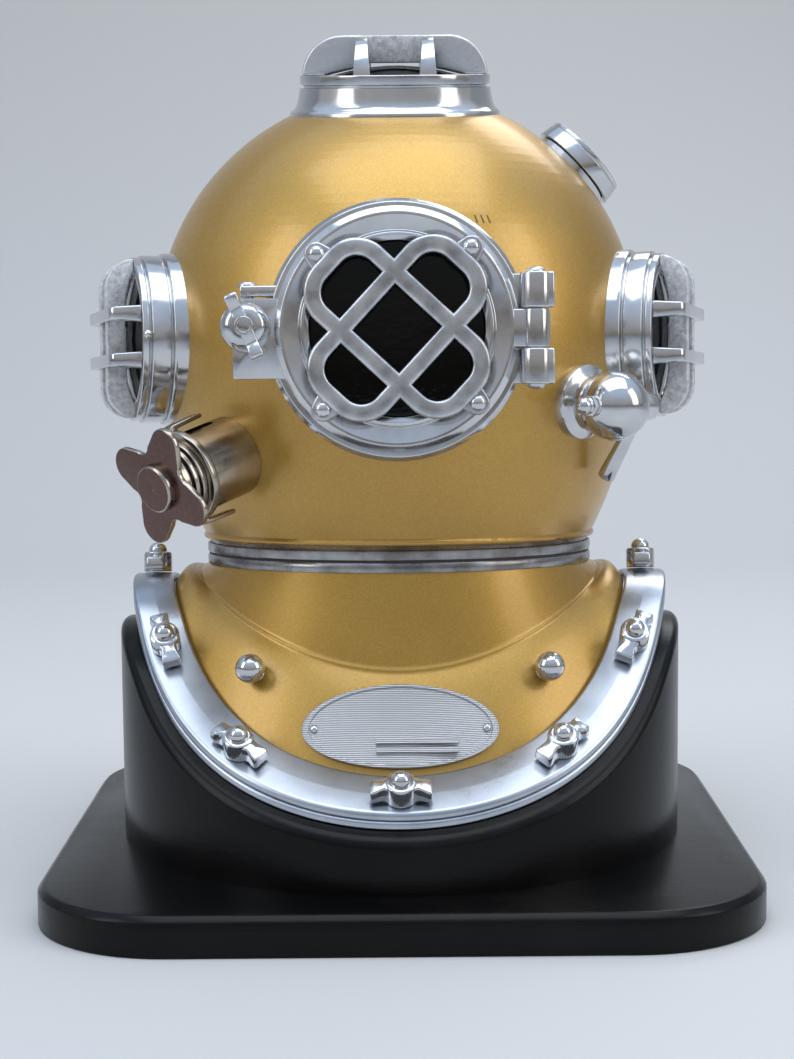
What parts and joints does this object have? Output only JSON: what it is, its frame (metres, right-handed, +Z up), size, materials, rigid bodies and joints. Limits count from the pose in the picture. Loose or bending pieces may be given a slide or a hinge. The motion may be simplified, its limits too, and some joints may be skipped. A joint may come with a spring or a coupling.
{
  "type": "diving helmet",
  "caption": "Standard-dress diving helmet on a black stand: hinged grilled faceplate, guarded ports, exhaust wheel, spitcock and a breastplate that lifts off.",
  "frame": {"origin": "centre of the underside of the stand's board", "axes": "+Z up; the helmet's faceplate faces -Y; +X is towards the door's hinge, the wearer's left"},
  "size_m": [0.412, 0.4139, 0.5121],
  "materials": {
    "black_wood": "black lacquer over wood, semi-gloss",
    "screw_steel": "plain steel",
    "gold_paint": "metallic gold paint, satin gloss",
    "polished_metal": "polished",
    "satin_metal": "cast and buffed, satin",
    "cast_metal": "rough cast",
    "glass_dark": "clear glass that reads dark",
    "rubber_seal": "matte",
    "leather_seal": "oiled"
  },
  "bodies": {
    "stand": {"stand_board": "black_wood", "stand_plinth": "black_wood", "stand_screws": "screw_steel"},
    "breastplate": {"breastplate_flange": "polished_metal", "breastplate_shell": "gold_paint", "neck_ring": "polished_metal", "neck_gasket": "leather_seal", "braile_front": "polished_metal", "braile_rear": "polished_metal", "braile_studs": "polished_metal", "braile_nuts": "polished_metal", "ball_posts": "polished_metal", "oval_plate": "cast_metal", "plate_rivets": "polished_metal"},
    "bonnet": {"bonnet_shell": "gold_paint", "bonnet_ring": "polished_metal", "top_port_seat": "polished_metal", "top_port_glass": "glass_dark", "top_port_guard": "cast_metal", "left_port_seat": "polished_metal", "left_port_glass": "glass_dark", "left_port_guard": "cast_metal", "right_port_seat": "polished_metal", "right_port_glass": "glass_dark", "right_port_guard": "cast_metal", "door_seat": "polished_metal", "hinge_pin": "polished_metal", "clasp_pin": "polished_metal", "clasp_bolt": "polished_metal", "exhaust_housing": "polished_metal", "exhaust_collar": "polished_metal", "exhaust_cap": "polished_metal", "exhaust_spring": "screw_steel", "spitcock_body": "polished_metal", "phone_cup": "polished_metal", "phone_cap": "polished_metal", "air_elbow": "polished_metal", "phone_elbow": "polished_metal"},
    "door": {"door_ring": "polished_metal", "door_glass": "glass_dark", "door_gasket": "rubber_seal", "door_grille": "satin_metal", "grille_screws": "polished_metal"},
    "clasp_nut": {"clasp_nut": "polished_metal"},
    "exhaust_wheel": {"exhaust_wheel": "polished_metal", "exhaust_spindle": "polished_metal"},
    "exhaust_disc": {"exhaust_disc": "polished_metal"},
    "spitcock": {"spitcock_plug": "polished_metal", "spitcock_lever": "polished_metal", "spitcock_acorn": "polished_metal"}
  },
  "joints": [
    {"name": "helmet_lift", "type": "slide", "parent": "stand", "child": "breastplate", "axis": [0, 0, 1], "range_m": [0, 0.3]},
    {"name": "bonnet_turn", "type": "hinge", "parent": "breastplate", "child": "bonnet", "pos_m": [0, 0.0185, 0.1935], "axis": [0, 0.0506, 0.9987], "range_deg": [0, 45]},
    {"name": "door_swing", "type": "hinge", "parent": "bonnet", "child": "door", "pos_m": [0.0765, -0.12976, 0.33118], "axis": [0, 0.0506, 0.9987], "range_deg": [0, 110]},
    {"name": "clasp_nut_spin", "type": "hinge", "parent": "door", "child": "clasp_nut", "pos_m": [-0.0832, -0.13961, 0.33358], "axis": [0, -0.9987, 0.0506], "continuous": true},
    {"name": "exhaust_wheel_turn", "type": "hinge", "parent": "bonnet", "child": "exhaust_wheel", "pos_m": [-0.13165, -0.11539, 0.24504], "axis": [-0.6643, -0.7018, -0.2572], "range_deg": [0, 360]},
    {"name": "exhaust_disc_lift", "type": "slide", "parent": "bonnet", "child": "exhaust_disc", "axis": [-0.6643, -0.7018, -0.2572], "range_m": [0, 0.003], "stiffness_N_per_m": 200, "springref_m": -0.002, "deforming": ["exhaust_spring"]},
    {"name": "spitcock_turn", "type": "hinge", "parent": "bonnet", "child": "spitcock", "pos_m": [0.12356, -0.0942, 0.2864], "axis": [-0.6884, -0.7244, 0.0367], "range_deg": [0, 90]}
  ]
}
